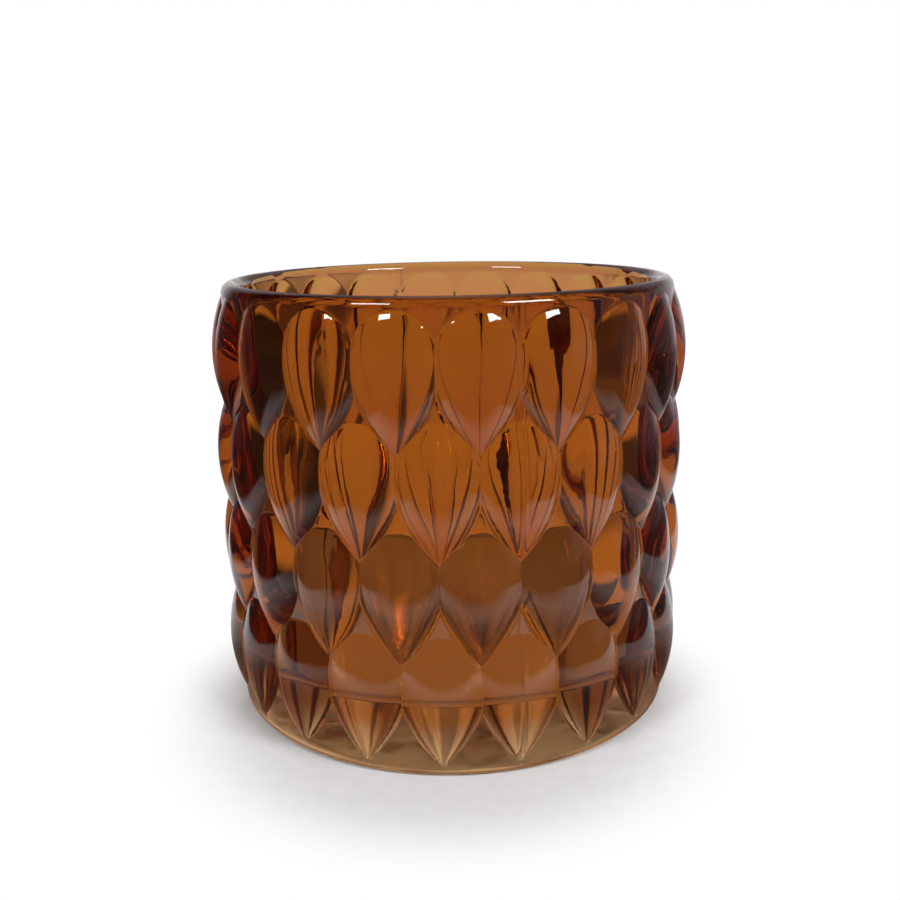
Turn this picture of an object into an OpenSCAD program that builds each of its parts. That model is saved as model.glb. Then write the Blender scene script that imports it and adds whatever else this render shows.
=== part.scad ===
// Tealight holder: a pressed glass cup with rows of overlapping petals round its outside.
// Millimetres, +Z up. The origin is the middle of the foot, on the table.

/* [Cup] */
// Height from the table to the top of the lip
height = 86.2; // [74:0.2:100]
// Diameter of the plain wall that the petals stand on
wall_d = 90; // [80:1:102]
// Thickness of the wall at the lip, which is a full round
rim_wall = 3.8; // [3.2:0.1:6]
// Thickness of the glass under the candle
base_thick = 12; // [8:0.5:20]
// Slope of the inside wall, in degrees, that lets the plunger out of the glass
draft = 0.8; // [0.2:0.1:2]
// Rounding where the inside wall meets the floor
floor_round = 3; // [1:0.25:6]
// Rounding of the outside edge at the foot
foot_round = 1.6; // [0.8:0.1:2]
// Diameter of the shallow hollow under the base
hollow_d = 66; // [40:1:74]
// Depth of that hollow at its middle
hollow_depth = 1.2; // [0.6:0.1:2.4]

/* [Petals] */
// Petals round each row
petal_count = 20; // [18:1:22]
// Rows of petals, each turned half a petal from the next
row_count = 4; // [3:1:5]
// Height of the lowest petals' points over the table
first_tip = 2; // [1.8:0.1:6]
// Plain band from the top petals' arches to the top of the lip
rim_band = 1.85; // [1.6:0.05:8]
// How far a petal reaches up behind the points of the row above
row_lap = 6.15; // [4:0.05:8]
// Height of a petal's crown over its point
petal_rise = 2.8; // [2.2:0.1:3.4]
// How far a petal runs past the middle line to its neighbour, where they meet in a groove
petal_lap = 0.25; // [0.1:0.05:0.6]
// How deep a petal's point lies in the wall
tip_sink = 0.2; // [0.1:0.05:0.4]
// Least depth to which a petal is rooted in the wall, so that the two are one glass
root = 0.15; // [0.1:0.05:0.4]

/* [Hidden] */
$fn = 96;

// Cup
wall_r = wall_d / 2;
lip_r = rim_wall / 2;
lip_c = [wall_r - lip_r, height - lip_r];
inner_top = lip_c + lip_r * [-cos(draft), sin(draft)];
function inner_r(z) = inner_top.x - (inner_top.y - z) * tan(draft);
floor_c_z = base_thick + floor_round;
floor_c = [inner_r(floor_c_z) - floor_round / cos(draft), floor_c_z];
floor_wall_end = floor_c + floor_round * [cos(draft), -sin(draft)];
hollow_r = (pow(hollow_d / 2, 2) + pow(hollow_depth, 2)) / (2 * hollow_depth);

// Petals
row_pitch = (height - rim_band - first_tip - row_lap) / row_count;
petal_len = row_pitch + row_lap;
petal_step = 360 / petal_count;
// Half the width of a petal where it meets the wall, as an angle round the cup
meet = petal_step / 2 + petal_lap / wall_r * 180 / PI;
crown_r = wall_r - tip_sink + petal_rise;
// The cross curve at the crown is a circle through the crown and both meeting points
cross_r = crown_r - (pow(crown_r, 2) - pow(wall_r, 2)) / (2 * (crown_r - wall_r * cos(meet)));
// A petal is turned about a leaning axis, from its point to the middle of that circle
lean = atan((cross_r - petal_rise) / (petal_len / 2));
// The long curve is an arc from the point, over the crown, to the top of the arch
long_r = (pow(petal_len / 2, 2) + pow(petal_rise, 2)) / (2 * petal_rise);
arc_in = long_r - petal_rise;
arc_up = arc_in * sin(lean) + petal_len / 2 * cos(lean);
arc_off = arc_in * cos(lean) - petal_len / 2 * sin(lean);
root_depth = wall_r * (1 - cos(meet)) + root;
spare = 1;

module cup_section() {
    difference() {
        union() {
            polygon([
                [0, 0],
                [wall_r - foot_round, 0],
                [wall_r, foot_round],
                [wall_r, lip_c.y],
                inner_top,
                floor_wall_end,
                [floor_c.x, base_thick],
                [0, base_thick]
            ]);
            translate([wall_r - foot_round, foot_round]) circle(foot_round);
            translate(lip_c) circle(lip_r);
        }
        translate(floor_c) circle(floor_round);
        translate([0, hollow_depth - hollow_r]) circle(hollow_r);
    }
}

// One petal at the front of the cup, with its point at height 0
module petal() {
    intersection() {
        translate([0, tip_sink - wall_r, 0])
            rotate([-lean, 0, 0])
                rotate(180)
                    rotate_extrude(angle = 180) petal_section();
        translate([-petal_len / 2, -crown_r - spare, -spare])
            cube([petal_len, crown_r + spare - wall_r + root_depth, petal_len + 2 * spare]);
    }
}

// Half of a pointed oval, seen along the petal's axis from its point
module petal_section() {
    intersection() {
        translate([-arc_off, arc_up]) circle(long_r);
        translate([0, -spare]) square([long_r, 2 * (arc_up + spare)]);
    }
}

module petals() {
    for (row = [0 : row_count - 1], i = [0 : petal_count - 1])
        rotate((i + row % 2 / 2) * petal_step)
            translate([0, 0, first_tip + row * row_pitch]) petal();
}

module glass_cup() {
    color([0.62, 0.33, 0.15])
        union() {
            rotate_extrude() cup_section();
            petals();
        }
}

glass_cup();
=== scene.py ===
"""A pressed-glass tealight holder with staggered rows of petals, on a pale studio floor."""

import math
from itertools import combinations

import bpy
import numpy as np
from mathutils import Matrix, Quaternion, Vector


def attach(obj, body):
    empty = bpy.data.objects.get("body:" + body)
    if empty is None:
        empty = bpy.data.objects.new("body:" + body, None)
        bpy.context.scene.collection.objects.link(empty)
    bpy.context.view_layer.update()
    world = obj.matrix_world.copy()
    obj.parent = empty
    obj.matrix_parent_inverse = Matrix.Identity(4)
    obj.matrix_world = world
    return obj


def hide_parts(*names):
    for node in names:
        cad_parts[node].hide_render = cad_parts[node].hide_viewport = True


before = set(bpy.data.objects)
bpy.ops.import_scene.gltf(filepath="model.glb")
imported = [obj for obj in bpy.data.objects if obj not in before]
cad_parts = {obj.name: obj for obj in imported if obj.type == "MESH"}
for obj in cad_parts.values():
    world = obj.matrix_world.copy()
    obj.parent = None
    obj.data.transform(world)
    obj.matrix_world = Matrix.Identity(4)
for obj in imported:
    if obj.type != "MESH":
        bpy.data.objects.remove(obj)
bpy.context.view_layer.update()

MM = 0.001
WHITE = (1.0, 1.0, 1.0)

# The cup's sizes, in millimetres
HEIGHT = 86.2
WALL_R = 45.0
RIM_WALL = 3.8
BASE_THICK = 12.0
DRAFT = math.radians(0.8)
FLOOR_ROUND = 3.0
FOOT_ROUND = 1.6
HOLLOW_R = 33.0
HOLLOW_DEPTH = 1.2

# The petals' sizes, in millimetres
PETALS = 20
ROWS = 4
FIRST_TIP = 2.0
RIM_BAND = 1.85
ROW_LAP = 6.15
PETAL_RISE = 2.8
PETAL_LAP = 0.25
TIP_SINK = 0.2
ROW_PITCH = (HEIGHT - RIM_BAND - FIRST_TIP - ROW_LAP) / ROWS
PETAL_LEN = ROW_PITCH + ROW_LAP
PETAL_STEP = 2 * math.pi / PETALS
# How far the creases are rounded, and the power that fills out the flanks, where 1 leaves them as turned
CREASE_ROUND = 0.2
FULLNESS = 0.8

# The lines where the halves of the mould met: places in petals from the front, height, and tilt of the sides
SEAMS = (1, 11)
SEAM_RISE = 0.08
SEAM_TILT = 0.3

# The mesh: columns from a petal's middle to its edge, with a narrow one at both ends, and rows up the wall
HALF_COLUMNS = 9
NARROW = math.radians(0.25)
WALL_ROWS = 112
# Points along the other stretches of the section
HOLLOW_POINTS = 9
FOOT_POINTS = 6
LIP_POINTS = 15
INSIDE_POINTS = 9
FLOOR_ROUND_POINTS = 9
FLOOR_POINTS = 8
# Rows of the lip that the arches of the top petals may reach
LIP_ROWS = 3
# A cut this near to a corner, as a share of the edge, goes through the corner
SNAP = 0.06
CUT_HALVINGS = 24
# How far in and out from the wall a petal's surface is looked for, in millimetres
SEARCH_IN = 3.0
SEARCH_OUT = 6.0
SEARCH_HALVINGS = 30
# A short step for slopes, and a least length that keeps roots and divisions in bounds
SHORT = 0.01
TINY = 1e-6

# The glass. Its tint is on the outside and thins toward the foot, and the lip's inner half has a share of it
GLASS_IOR = 1.52
AMBER_STOPS = [(0.3, (0.385, 0.099, 0.0090)), (0.7, (0.415, 0.109, 0.0104))]
FOOT_TINT = (0.88, 0.72, 0.52)
UNDERSIDE_TINT = (0.90, 0.78, 0.62)
LIP_SHARE = 0.4
BODY_COLOUR = (0.77, 0.443, 0.0)
BODY_DENSITY = 8.0
# From where to where the tint changes: the radius of the outside, and heights at the foot, lip and underside
OUTSIDE_R = ((WALL_R - 2.1) * MM, (WALL_R - 1.7) * MM)
FOOT_Z = (3.0 * MM, 13.0 * MM)
LIP_Z = ((HEIGHT - 2.8) * MM, (HEIGHT - 1.8) * MM)
UNDERSIDE_Z = (3.0 * MM, 6.0 * MM)
# Its streaks of colour, smears in the polish, ripples all over and waves on the inside wall: scale and detail
STREAKS = (40, 2)
SMEARS = (120, 3)
RIPPLES = (260, 2)
WAVES = (110, 1)
WAVE_STRETCH = (1.0, 1.0, 0.4)
RIPPLE_STRENGTH = 0.12
RIPPLE_DEPTH = 0.1 * MM
WAVE_STRENGTH = 1.0
WAVE_DEPTH = 0.5 * MM
SMEAR_RANGE = (0.4, 0.8)
SMEAR_ROUGHNESS = 0.04
UNDERSIDE_ROUGHNESS = 0.10

# The floor, in metres: its paper, the air between it and the foot, and where the shadow on it fades out
FLOOR_HALF = 3.0
PAPER_GRAIN = (300, 3)
PAPER_STOPS = [(0.3, 0.88), (0.7, 0.92)]
PAPER_ROUGHNESS = 0.9
FOOT_GAP = 0.03 * MM
SHADE_MIDDLE = (0.0, -0.012, 0.0)
SHADE_FADE = (0.043, 0.064)

# How bright the floor is painted in the glass: a painted shadow under the cup, by shares of a distance from
# the middle of the shade
UNDER_SPAN = 0.1
UNDER_STOPS = [(0.2, 0.50), (0.40, 0.22), (0.60, 0.24)]
# Then round the foot, by azimuth from straight behind the cup: painted shade, darker at the sides and the
# front
FOOT_RING = (0.060, 0.080)
FOOT_STOPS = [(-150, 0.55), (-100, 0.60), (-50, 0.90), (45, 0.90), (85, 0.60), (150, 0.55)]
# Then a painted bright sheet, whose painted light falls off a little, and whose edges are soft
SHEET_RING = (0.076, 0.098)
SHEET_LEVEL = 0.95
SHEET_FALL = (0.12, 0.25)
SHEET_FAR = 0.9
# Each edge: its axis, where the sheet has ended, and where it is whole
SHEET_EDGES = [("X", -0.14, -0.11), ("X", 0.16, 0.13), ("Y", -0.17, -0.08)]
# Then the painted shade around the sheet, and the room, by azimuth, and how the room changes with the sine of
# the elevation
AROUND_STOPS = [(-130, 0.06), (-60, 0.04), (-40, 0.15), (40, 0.20), (60, 0.13), (130, 0.10)]
ROOM_RING = (0.45, 1.0)
ROOM_STOPS = [(-130, 0.06), (-50, 0.06), (-30, 0.80), (30, 0.80), (60, 0.25), (95, 0.25), (130, 0.08)]
CLIMB_STOPS = [(0.0, 1.0), (0.15, 0.9), (0.3, 0.4), (0.45, 0.5), (0.8, 0.3)]
# The floor's hue in the glass: browner under the cup, painted light as if it came through the tint, and
# pinker far away
UNDER_LIGHT_HUE = (1.0, 0.66, 0.50)
UNDER_LIGHT_RING = (0.045, 0.070)
FAR_HUE = (1.0, 0.84, 1.0)
FAR_HUE_RING = (0.24, 0.34)

# The light: softboxes by azimuth from behind, elevation, size, power and roll, a lamp overhead, and the room
CUP_MIDDLE = Vector((0.0, 0.0, 0.05))
LAMP_DISTANCE = 0.8
SOFTBOXES = {
    "left_lamp": (-142, 38, (0.22, 0.12), 1.8, 15),
    "right_lamp": (134, 38, (0.30, 0.16), 3.3, 0),
}
OVERHEAD_PLACE = Vector((0.0, 0.45, 1.05))
OVERHEAD_SIZE = (0.8, 0.8)
OVERHEAD_POWER = 6.8
ROOM_LIGHT = 0.30
# Light goes to and fro in the glass many times before it leaves
BOUNCES = 32
GLOSSY_BOUNCES = 24


def petal_shape():
    """Radius and centre of a petal's long curve, and the lean of the axis that it turns about."""
    meet = PETAL_STEP / 2 + PETAL_LAP / WALL_R
    crown_r = WALL_R - TIP_SINK + PETAL_RISE
    cross_r = crown_r - (crown_r**2 - WALL_R**2) / (2 * (crown_r - WALL_R * math.cos(meet)))
    half = PETAL_LEN / 2
    lean = math.atan((cross_r - PETAL_RISE) / half)
    long_r = (half**2 + PETAL_RISE**2) / (2 * PETAL_RISE)
    arc_in = long_r - PETAL_RISE
    arc_up = arc_in * math.sin(lean) + half * math.cos(lean)
    arc_off = arc_in * math.cos(lean) - half * math.sin(lean)
    return long_r, arc_up, arc_off, lean


def petal_turned(angle, rise):
    """Radius of a petal as turned, at an angle from its middle and a height over its point."""
    long_r, arc_up, arc_off, lean = petal_shape()
    low = np.full(angle.shape, WALL_R - SEARCH_IN)
    high = np.full(angle.shape, WALL_R + SEARCH_OUT)

    def outside(radius):
        side = radius * np.sin(angle)
        out = radius * np.cos(angle) - (WALL_R - TIP_SINK)
        along = rise * math.cos(lean) - out * math.sin(lean)
        away = np.sqrt(np.maximum(side**2 + out**2 + rise**2 - along**2, TINY**2))
        return (along - arc_up) ** 2 + (away + arc_off) ** 2 - long_r**2

    reached = outside(low) < 0
    for _ in range(SEARCH_HALVINGS):
        middle = (low + high) / 2
        within = outside(middle) < 0
        low = np.where(within, middle, low)
        high = np.where(within, high, middle)
    return np.where(reached, low, 0.0)


def petal_radius(angle, rise):
    """The same for a petal as pressed, whose flanks are a little fuller."""
    turned = petal_turned(angle, rise)
    ridge = np.maximum(petal_turned(np.zeros_like(angle), rise) - WALL_R, TINY)
    proud = np.clip((turned - WALL_R) / ridge, 0.0, 1.0)
    return np.where(turned > WALL_R, WALL_R + ridge * proud**FULLNESS, turned)


def round_max(a, b):
    """The larger of two radii, with the crease between them rounded off."""
    near = np.maximum(CREASE_ROUND - np.abs(a - b), 0.0) / CREASE_ROUND
    return np.maximum(a, b) + near**2 * CREASE_ROUND / 4


def petal_row(angle, height, row):
    """Radius of a row of petals, each joined to its neighbours in a groove."""
    turned = angle / PETAL_STEP - (row % 2) / 2
    off = np.abs(turned - np.round(turned)) * PETAL_STEP
    rise = height - FIRST_TIP - row * ROW_PITCH
    return round_max(petal_radius(off, rise), petal_radius(PETAL_STEP - off, rise))


def relief(angle, height, plain):
    """Radius of the outside with its petals, where plain is the radius without them."""
    radius = plain
    for row in range(ROWS):
        radius = round_max(radius, petal_row(angle, height, row))
    return radius


def even_and_odd(angle, height):
    """Radius of the rows that stand alike with the lowest, and of the rows between them."""
    rows = [petal_row(angle, height, row) for row in range(ROWS)]
    return np.maximum.reduce(rows[0::2]), np.maximum.reduce(rows[1::2])


def wall_normals(angle, height):
    """Normals of the wall from the relief itself, which keeps the creases crisp: outward, sideways and up."""
    wall = np.full(angle.shape, WALL_R)
    turn = SHORT / WALL_R
    sideways = (relief(angle + turn, height, wall) - relief(angle - turn, height, wall)) / (2 * SHORT)
    rise = (relief(angle, height + SHORT, wall) - relief(angle, height - SHORT, wall)) / (2 * SHORT)
    normals = np.stack([np.ones_like(angle), -sideways, -rise], axis=-1)
    return normals / np.linalg.norm(normals, axis=-1)[:, None]


def sides_of(face):
    """The sides of a face as pairs of corners."""
    return zip(face, face[1:] + face[:1])


def edge_key(p, q):
    """An edge's name, whichever way it is gone along."""
    return min(p, q), max(p, q)


def crossings(faces, places, level, allowed):
    """The edges between allowed places where level(places) changes sign: their ends, and where on them."""
    ends = np.array(list(dict.fromkeys(edge_key(p, q) for face in faces for p, q in sides_of(face))))
    below = level(places) < 0
    first, last = ends[:, 0], ends[:, 1]
    crossed = (below[first] != below[last]) & allowed[first] & allowed[last]
    first, last = first[crossed], last[crossed]
    start, end = places[first], places[last]
    low, high = np.zeros(len(first)), np.ones(len(first))
    for _ in range(CUT_HALVINGS):
        middle = (low + high) / 2
        same = (level(start + (end - start) * middle[:, None]) < 0) == below[first]
        low, high = np.where(same, middle, low), np.where(same, high, middle)
    return zip(first.tolist(), last.tolist(), low.tolist())


def parts_of(loop, on_line, side):
    """The two parts of a face whose corners lie on both sides of a line, or else the whole face."""
    marks = [i for i, p in enumerate(loop) if p in on_line]
    for i, j in combinations(marks, 2):
        if 1 < j - i < len(loop) - 1:
            parts = [loop[i : j + 1], loop[j:] + loop[: i + 1]]
            one, other = ({side[p] for p in part if side[p]} for part in parts)
            if len(one) == len(other) == 1 and one != other:
                return parts
    return [loop]


def cut(faces, places, level, allowed):
    """Splits faces along the line where level(places) is 0, between the places that are allowed."""
    added, on_edge, on_line = [], {}, set()
    for p, q, share in crossings(faces, places, level, allowed):
        if share < SNAP:
            on_line.add(p)
        elif share > 1 - SNAP:
            on_line.add(q)
        else:
            on_edge[p, q] = len(places) + len(added)
            on_line.add(on_edge[p, q])
            added.append(places[p] + (places[q] - places[p]) * share)
    side = np.concatenate([np.sign(level(places)), np.zeros(len(added))])
    side[list(on_line)] = 0
    result = []
    for face in faces:
        loop = []
        for p, q in sides_of(face):
            loop.append(p)
            if edge_key(p, q) in on_edge:
                loop.append(on_edge[edge_key(p, q)])
        result += parts_of(loop, on_line, side)
    return result, np.vstack([places] + added)


def arc(centre, radius, start, end, count):
    """Points on an arc in the cup's section, as pairs of radius and height."""
    turn = np.radians(np.linspace(start, end, count))
    return [(centre[0] + radius * math.cos(t), centre[1] + radius * math.sin(t)) for t in turn]


def cup_section():
    """The section from under the base, over the lip, to the floor, and where the wall begins and ends."""
    lip_r = RIM_WALL / 2
    lip = (WALL_R - lip_r, HEIGHT - lip_r)
    draft = math.degrees(DRAFT)
    inner_top = (lip[0] - lip_r * math.cos(DRAFT), lip[1] + lip_r * math.sin(DRAFT))
    floor_z = BASE_THICK + FLOOR_ROUND
    inner_r = inner_top[0] - (inner_top[1] - floor_z) * math.tan(DRAFT)
    floor_c = (inner_r - FLOOR_ROUND / math.cos(DRAFT), floor_z)
    inner_low = (floor_c[0] + FLOOR_ROUND * math.cos(DRAFT), floor_c[1] - FLOOR_ROUND * math.sin(DRAFT))
    hollow_r = (HOLLOW_R**2 + HOLLOW_DEPTH**2) / (2 * HOLLOW_DEPTH)
    foot = (WALL_R - FOOT_ROUND, FOOT_ROUND)

    section = []
    for r in np.linspace(0, HOLLOW_R, HOLLOW_POINTS)[1:]:
        section.append((r, HOLLOW_DEPTH - hollow_r + math.sqrt(hollow_r**2 - r**2)))
    section.append(((HOLLOW_R + foot[0]) / 2, 0.0))
    section += arc(foot, FOOT_ROUND, -90, 0, FOOT_POINTS)
    wall_from = len(section) - 1
    section += [(WALL_R, z) for z in np.linspace(FOOT_ROUND, lip[1], WALL_ROWS)[1:-1]]
    wall_to = len(section)
    section += arc(lip, lip_r, 0, 180 - draft, LIP_POINTS)
    section += [tuple(p) for p in np.linspace(inner_top, inner_low, INSIDE_POINTS)[1:-1]]
    section += arc(floor_c, FLOOR_ROUND, -draft, -90, FLOOR_ROUND_POINTS)
    section += [(r, BASE_THICK) for r in np.linspace(floor_c[0], 0, FLOOR_POINTS)[1:-1]]
    return np.array(section), wall_from, wall_to


def petal_tile(section, wall_from, wall_to):
    """The cup's skin over one petal's width, cut along the creases: faces, and places as angle and row."""
    half = PETAL_STEP / 2
    inner = np.linspace(NARROW, half - NARROW, HALF_COLUMNS)
    angles = np.concatenate([[0.0], inner, [half], half + inner, [2 * half]])
    rows, columns = len(section), len(angles)
    places = np.array([(a, i) for i in range(rows) for a in angles], dtype=float)
    faces = [
        [i * columns + j, i * columns + j + 1, (i + 1) * columns + j + 1, (i + 1) * columns + j]
        for i in range(rows - 1)
        for j in range(columns - 1)
    ]

    def rows_of_petals(places):
        return even_and_odd(places[:, 0], np.interp(places[:, 1], np.arange(rows), section[:, 1]))

    def between_rows(places):
        even, odd = rows_of_petals(places)
        return even - odd

    def over_wall(places):
        return np.maximum(*rows_of_petals(places)) - WALL_R

    def on_wall(places):
        return (places[:, 1] >= wall_from) & (places[:, 1] <= wall_to)

    steps = (-CREASE_ROUND, 0.0, CREASE_ROUND)
    for step in steps:
        faces, places = cut(faces, places, lambda p: over_wall(p) - step, on_wall(places))
    for step in steps:
        proud = over_wall(places) > -CREASE_ROUND
        faces, places = cut(faces, places, lambda p: between_rows(p) - step, on_wall(places) & proud)
    return faces, places


def tile_numbers(angle, row):
    """The corners that each tile adds, and a function for the numbers of its corners in the k-th place."""
    # The right edge of each tile is the left edge of the next
    left = [i for i in np.argsort(row) if angle[i] == 0.0]
    right = [i for i in np.argsort(row) if angle[i] == PETAL_STEP]
    own = np.setdiff1d(np.arange(len(angle)), right)
    number = np.zeros(len(angle), dtype=int)
    number[own] = np.arange(len(own))

    def in_place(k):
        index = number + k * len(own)
        index[right] = number[left] + (k + 1) % PETALS * len(own)
        return index

    return own, in_place


def with_seams(k, angle, on_wall, radius, sideways):
    """Radius and sideways normals of the k-th tile, with a line of the mould where it runs along an edge."""
    radius, sideways = radius.copy(), sideways.copy()
    if k in SEAMS:
        radius[on_wall & (angle == 0.0)] += SEAM_RISE
        sideways[on_wall & np.isclose(angle, NARROW)] += SEAM_TILT
    if k + 1 in SEAMS:
        sideways[on_wall & np.isclose(angle, PETAL_STEP - NARROW)] -= SEAM_TILT
    return radius, sideways


def fan(middle, ring):
    """Triangles from one corner to each pair of neighbours in a row of corners."""
    return [(middle, p, q) for p, q in zip(ring[:-1].tolist(), ring[1:].tolist())]


def cup_mesh():
    """The glass as one closed skin: the tile of one petal, set round the cup, with the seams of the mould."""
    section, wall_from, wall_to = cup_section()
    faces, places = petal_tile(section, wall_from, wall_to)
    angle, row = places[:, 0], places[:, 1]
    radius = np.interp(row, np.arange(len(section)), section[:, 0])
    height = np.interp(row, np.arange(len(section)), section[:, 1])
    lifted = (row >= wall_from) & (row <= wall_to + LIP_ROWS)
    radius[lifted] = relief(angle[lifted], height[lifted], radius[lifted])
    on_wall = (row >= wall_from + 1) & (row <= wall_to)
    # Where a normal is left at zero, Blender works out a smooth one
    normals = np.zeros((len(places), 3))
    normals[on_wall] = wall_normals(angle[on_wall], height[on_wall])

    own, in_place = tile_numbers(angle, row)
    under_middle = PETALS * len(own)
    floor_middle = under_middle + 1
    under_ring = [i for i in np.argsort(-angle) if row[i] == 0]
    floor_ring = [i for i in np.argsort(angle) if row[i] == len(section) - 1]
    points, turned, loops = [], [], []
    for k in range(PETALS):
        around = angle[own] + k * PETAL_STEP
        out = np.stack([np.sin(around), -np.cos(around)], axis=-1)
        aside = np.stack([np.cos(around), np.sin(around)], axis=-1)
        raised, sideways = with_seams(k, angle, on_wall, radius, normals[:, 1])
        points.append(np.column_stack([out * raised[own, None], height[own]]))
        across = out * normals[own, :1] + aside * sideways[own, None]
        turned.append(np.column_stack([across, normals[own, 2]]))
        index = in_place(k)
        loops += [index[face].tolist() for face in faces]
        loops += fan(under_middle, index[under_ring]) + fan(floor_middle, index[floor_ring])
    points = np.vstack(points + [[[0, 0, HOLLOW_DEPTH], [0, 0, BASE_THICK]]]) * MM
    turned = np.vstack(turned + [[[0, 0, -1], [0, 0, 1]]])

    mesh = bpy.data.meshes.new("glass_cup_dressed")
    mesh.from_pydata(points.tolist(), [], loops)
    mesh.validate()
    mesh.shade_smooth()
    mesh.normals_split_custom_set_from_vertices(turned.tolist())
    return mesh


class Tree:
    """The node tree of a material or world, emptied, with short ways to add to it."""

    def __init__(self, owner):
        owner.use_nodes = True
        self.nodes, self.links = owner.node_tree.nodes, owner.node_tree.links
        self.nodes.clear()

    def feed(self, sockets, values):
        """Links inputs to other nodes' outputs, or sets them to numbers, vectors or colours."""
        for socket, value in zip(sockets, values):
            if isinstance(value, bpy.types.NodeSocket):
                self.links.new(value, socket)
            elif socket.type == "RGBA":
                socket.default_value = (*value, 1.0)
            else:
                socket.default_value = value

    def add(self, kind, **inputs):
        """A new node with some of its inputs fed, whose names have underscores for spaces."""
        node = self.nodes.new("ShaderNode" + kind)
        self.feed([node.inputs[name.replace("_", " ")] for name in inputs], inputs.values())
        return node

    def noise(self, place, scale, detail):
        return self.add("TexNoise", Vector=place, Scale=scale, Detail=detail).outputs["Fac"]

    def calc(self, operation, *values):
        """A calculation with numbers."""
        node = self.add("Math")
        node.operation = operation
        self.feed(node.inputs, values)
        return node.outputs["Value"]

    def vector(self, operation, *values):
        """A calculation with vectors, which gives a number for a length or a distance."""
        node = self.add("VectorMath")
        node.operation = operation
        self.feed(node.inputs, values)
        return node.outputs["Value" if operation in ("LENGTH", "DISTANCE") else "Vector"]

    def step(self, value, start, end, low=0.0, high=1.0, shape="SMOOTHSTEP"):
        """A step from low to high, as the value goes from start to end."""
        node = self.add("MapRange", Value=value, From_Min=start, From_Max=end, To_Min=low, To_Max=high)
        node.interpolation_type = shape
        return node.outputs["Result"]

    def ramp(self, value, stops):
        """A colour that goes by the value, from pairs of a place and a colour."""
        node = self.add("ValToRGB", Fac=value)
        elements = node.color_ramp.elements
        while len(elements) < len(stops):
            elements.new(0.5)
        for element, (place, colour) in zip(elements, stops):
            element.position = place
            element.color = (*colour, 1.0)
        return node.outputs["Color"]

    def levels(self, value, stops):
        """A level of grey that goes by the value, from pairs of a place and a level."""
        return self.ramp(value, [(place, (level,) * 3) for place, level in stops])

    def by_azimuth(self, vector, stops):
        """A level that goes by a vector's azimuth, in degrees from straight behind the cup to its right."""
        across = self.add("SeparateXYZ", Vector=vector).outputs
        azimuth = self.calc("ARCTAN2", across["X"], across["Y"])
        turn = self.calc("MULTIPLY_ADD", azimuth, 0.5 / math.pi, 0.5)
        return self.levels(turn, [(degrees / 360 + 0.5, level) for degrees, level in stops])

    def blend(self, factor, first, second):
        """A mix of two numbers."""
        node = self.add("Mix", Factor=factor)
        self.feed(node.inputs[2:4], (first, second))
        return node.outputs[0]

    def blend_colours(self, factor, first, second):
        """A mix of two colours."""
        node = self.add("Mix", Factor=factor)
        node.data_type = "RGBA"
        self.feed(node.inputs[6:8], (first, second))
        return node.outputs[2]

    def mix_shaders(self, factor, first, second):
        """A mix of two shader nodes."""
        node = self.add("MixShader", Fac=factor)
        self.feed(node.inputs[1:], (first.outputs[0], second.outputs[0]))
        return node.outputs["Shader"]


def glass_colour(tree, place, height, outside, underside):
    """The tint of the outside, thinner toward the foot, with a share of it on the lip, and clear inside."""
    amber = tree.ramp(tree.noise(place, *STREAKS), AMBER_STOPS)
    tint = tree.blend_colours(tree.step(height, *FOOT_Z), FOOT_TINT, amber)
    tinted = tree.calc("MAXIMUM", outside, tree.step(height, *LIP_Z, 0.0, LIP_SHARE))
    colour = tree.blend_colours(tinted, WHITE, tint)
    return tree.blend_colours(underside, colour, UNDERSIDE_TINT)


def glass_normal(tree, place, inside_wall):
    """Fine ripples all over, and longer waves on the inside wall."""
    ripple = tree.noise(place, *RIPPLES)
    rippled = tree.add("Bump", Strength=RIPPLE_STRENGTH, Distance=RIPPLE_DEPTH, Height=ripple)
    normal = rippled.outputs["Normal"]
    wave = tree.noise(tree.vector("MULTIPLY", place, WAVE_STRETCH), *WAVES)
    height = tree.calc("MULTIPLY", wave, inside_wall)
    waved = tree.add("Bump", Strength=WAVE_STRENGTH, Distance=WAVE_DEPTH, Height=height, Normal=normal)
    return waved.outputs["Normal"]


def amber_glass():
    """Clear glass with an amber tint on its outside, which light that is turned back inside passes too."""
    material = bpy.data.materials.new("amber_glass")
    tree = Tree(material)
    place = tree.add("TexCoord").outputs["Object"]
    height = tree.add("SeparateXYZ", Vector=place).outputs["Z"]
    radius = tree.vector("LENGTH", tree.vector("MULTIPLY", place, (1.0, 1.0, 0.0)))
    outside = tree.step(radius, *OUTSIDE_R)
    within = tree.calc("SUBTRACT", 1.0, outside)
    underside = tree.calc("MULTIPLY", within, tree.step(height, *UNDERSIDE_Z, 1.0, 0.0))

    smear = tree.step(tree.noise(place, *SMEARS), *SMEAR_RANGE, 0.0, SMEAR_ROUGHNESS, "LINEAR")
    ground = tree.calc("MULTIPLY", underside, UNDERSIDE_ROUGHNESS)
    roughness = tree.calc("MAXIMUM", smear, ground)
    normal = glass_normal(tree, place, tree.calc("SUBTRACT", within, underside))
    surface = {"Roughness": roughness, "Normal": normal, "IOR": GLASS_IOR}

    colour = glass_colour(tree, place, height, outside, underside)
    from_outside = tree.add("BsdfPrincipled", Base_Color=colour, Transmission_Weight=1.0, **surface)
    # A Principled shader tints what passes by the root of its colour, and a Glass shader by the colour itself
    root = tree.add("Gamma", Color=colour, Gamma=0.5).outputs["Color"]
    from_inside = tree.add("BsdfGlass", Color=root, **surface)
    inside = tree.add("NewGeometry").outputs["Backfacing"]
    body = tree.add("VolumeAbsorption", Color=BODY_COLOUR, Density=BODY_DENSITY).outputs["Volume"]
    tree.add("OutputMaterial", Surface=tree.mix_shaders(inside, from_outside, from_inside), Volume=body)
    return material


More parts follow.
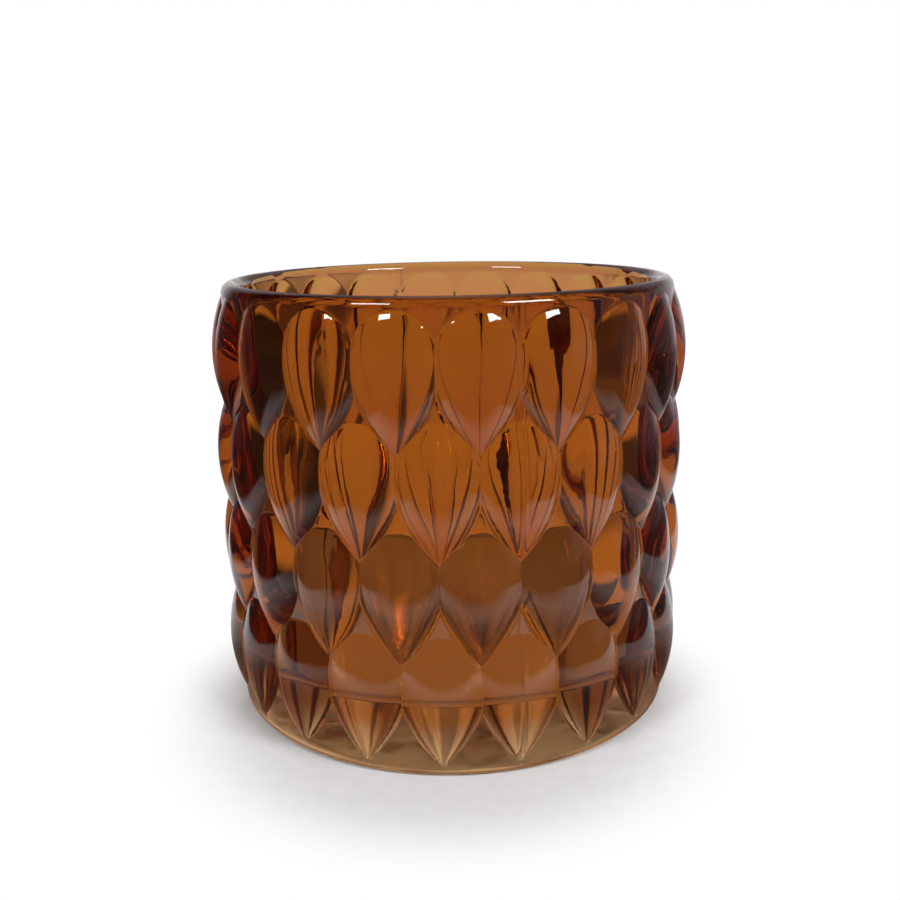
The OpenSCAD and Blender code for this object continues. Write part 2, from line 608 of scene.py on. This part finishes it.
def painted_floor_light(tree, place, distance):
    """How bright the floor is painted in the glass: a painted shadow under the cup, a painted bright sheet
    round it, and a dim room.
    """
    # Painted shadow of the cup on the floor, seen only in the glass
    glow = tree.levels(tree.calc("DIVIDE", distance, UNDER_SPAN), UNDER_STOPS)
    # Painted shade round the foot, darker at the sides and the front
    glow = tree.blend(tree.step(distance, *FOOT_RING), glow, tree.by_azimuth(place, FOOT_STOPS))
    # A painted bright sheet with soft edges, seen only in the glass
    glow = tree.blend(tree.step(distance, *SHEET_RING), glow, SHEET_LEVEL)
    glow = tree.calc("MULTIPLY", glow, tree.step(distance, *SHEET_FALL, 1.0, SHEET_FAR))
    across = tree.add("SeparateXYZ", Vector=place).outputs
    for axis, ended, whole in SHEET_EDGES:
        glow = tree.calc("MULTIPLY", glow, tree.step(across[axis], ended, whole))
    # Painted dim shade around the sheet
    glow = tree.calc("MAXIMUM", glow, tree.by_azimuth(place, AROUND_STOPS))
    return tree.blend(tree.step(distance, *ROOM_RING), glow, tree.by_azimuth(place, ROOM_STOPS))


def rays(tree):
    """Whether a ray comes straight from the camera, and whether it comes by way of the glass."""
    path = tree.add("LightPath").outputs
    return path["Is Camera Ray"], tree.calc("MAXIMUM", path["Is Glossy Ray"], path["Is Transmission Ray"])


def studio_paper():
    """Pale paper with the cup's shadow, white away from it. In the glass, painted light and shade: a painted
    shadow under the cup, a bright sheet and a dim room.
    """
    material = bpy.data.materials.new("studio_paper")
    tree = Tree(material)
    place = tree.add("TexCoord").outputs["Object"]
    distance = tree.vector("DISTANCE", place, SHADE_MIDDLE)
    straight, in_glass = rays(tree)
    grain = tree.levels(tree.noise(place, *PAPER_GRAIN), PAPER_STOPS)
    paper = tree.add("BsdfPrincipled", Base_Color=grain, Roughness=PAPER_ROUGHNESS, Specular_IOR_Level=0.0)

    far = tree.calc("MULTIPLY", in_glass, tree.step(distance, *FAR_HUE_RING))
    # Painted brown light under the cup, seen only in the glass
    under = tree.calc("MULTIPLY", in_glass, tree.step(distance, *UNDER_LIGHT_RING, 1.0, 0.0))
    hue = tree.blend_colours(under, tree.blend_colours(far, WHITE, FAR_HUE), UNDER_LIGHT_HUE)
    # Painted light and shade of the floor, seen only in the glass
    glow = tree.calc("MULTIPLY", in_glass, painted_floor_light(tree, place, distance))
    light = tree.add("Emission", Color=hue, Strength=tree.calc("MAXIMUM", straight, glow))
    unshaded = tree.calc("MULTIPLY", straight, tree.step(distance, *SHADE_FADE))
    shining = tree.calc("MAXIMUM", unshaded, in_glass)
    tree.add("OutputMaterial", Surface=tree.mix_shaders(shining, paper, light))
    return material


def add_object(name, mesh, material):
    obj = bpy.data.objects.new(name, mesh)
    bpy.context.scene.collection.objects.link(obj)
    mesh.materials.append(material)
    return obj


def add_floor():
    corners = [(x * FLOOR_HALF, y * FLOOR_HALF, 0.0) for x, y in ((-1, -1), (1, -1), (1, 1), (-1, 1))]
    mesh = bpy.data.meshes.new("studio_floor")
    mesh.from_pydata(corners, [], [(0, 1, 2, 3)])
    floor = add_object("studio_floor", mesh, studio_paper())
    floor.location.z = -FOOT_GAP


def add_camera():
    """The photograph's camera: a little above the lip, close in, and turned a few degrees round the cup."""
    azimuth, pitch, roll = math.radians(2.71), math.radians(13.89), math.radians(-0.94)
    distance, height = 212.9 * MM, 102.4 * MM
    focal_px, frame_px, sensor = 1041.0, 900.0, 36.0
    data = bpy.data.cameras.new("camera")
    data.sensor_width = sensor
    data.lens = focal_px / frame_px * sensor
    data.clip_start = 10 * MM
    camera = bpy.data.objects.new("camera", data)
    right = Vector((math.cos(azimuth), math.sin(azimuth), 0))
    level = Vector((-math.sin(azimuth), math.cos(azimuth), 0))
    ahead = level * math.cos(pitch) - Vector((0, 0, math.sin(pitch)))
    up = right.cross(ahead)
    x_axis = math.cos(roll) * right + math.sin(roll) * up
    y_axis = math.cos(roll) * up - math.sin(roll) * right
    turn = Matrix((x_axis, y_axis, -ahead)).transposed().to_4x4()
    place = Vector((0, 0, height)) - level * distance
    camera.matrix_world = Matrix.Translation(place) @ turn
    bpy.context.scene.collection.objects.link(camera)
    bpy.context.scene.camera = camera


def toward(azimuth, elevation, distance):
    """A place seen from the cup at an azimuth from straight behind it, and an elevation."""
    a, e = math.radians(azimuth), math.radians(elevation)
    return Vector((math.sin(a) * math.cos(e), math.cos(a) * math.cos(e), math.sin(e))) * distance + CUP_MIDDLE


def add_softbox(name, place, size, power, roll):
    """An oblong lamp that faces the middle of the cup, rolled by some degrees."""
    data = bpy.data.lights.new(name, "AREA")
    data.shape = "RECTANGLE"
    data.size, data.size_y = size
    data.energy = power
    lamp = bpy.data.objects.new(name, data)
    lamp.location = place
    facing = (CUP_MIDDLE - place).to_track_quat("-Z", "Y")
    lamp.rotation_euler = (facing @ Quaternion((0, 0, 1), math.radians(roll))).to_euler()
    bpy.context.scene.collection.objects.link(lamp)
    return lamp


def add_lamps():
    """Softboxes at both sides of the front, and a lamp overhead for the shadow, not shown in the glass."""
    for name, (azimuth, elevation, size, power, roll) in SOFTBOXES.items():
        add_softbox(name, toward(azimuth, elevation, LAMP_DISTANCE), size, power, roll)
    overhead = add_softbox("overhead_lamp", OVERHEAD_PLACE, OVERHEAD_SIZE, OVERHEAD_POWER, 0)
    overhead.visible_glossy = overhead.visible_transmission = False


def add_world():
    """A plain room with a white backdrop. In the glass it is bright behind the cup and dim at its sides."""
    world = bpy.data.worlds.new("studio")
    bpy.context.scene.world = world
    tree = Tree(world)
    direction = tree.add("TexCoord").outputs["Generated"]
    climb = tree.add("SeparateXYZ", Vector=direction).outputs["Z"]
    straight, in_glass = rays(tree)
    room = tree.calc("MULTIPLY", tree.by_azimuth(direction, ROOM_STOPS), tree.levels(climb, CLIMB_STOPS))
    shown = tree.add("Background", Color=WHITE, Strength=tree.calc("MAXIMUM", room, straight))
    plain = tree.add("Background", Color=WHITE, Strength=ROOM_LIGHT)
    seen = tree.calc("MAXIMUM", straight, in_glass)
    tree.add("OutputWorld", Surface=tree.mix_shaders(seen, plain, shown))


cup = add_object("pressed_glass_cup", cup_mesh(), amber_glass())
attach(cup, "root")
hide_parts("glass_cup")

add_floor()
add_camera()
add_lamps()
add_world()
bpy.context.scene.view_settings.view_transform = "Standard"
cycles = bpy.context.scene.cycles
cycles.max_bounces = cycles.transmission_bounces = BOUNCES
cycles.glossy_bounces = GLOSSY_BOUNCES
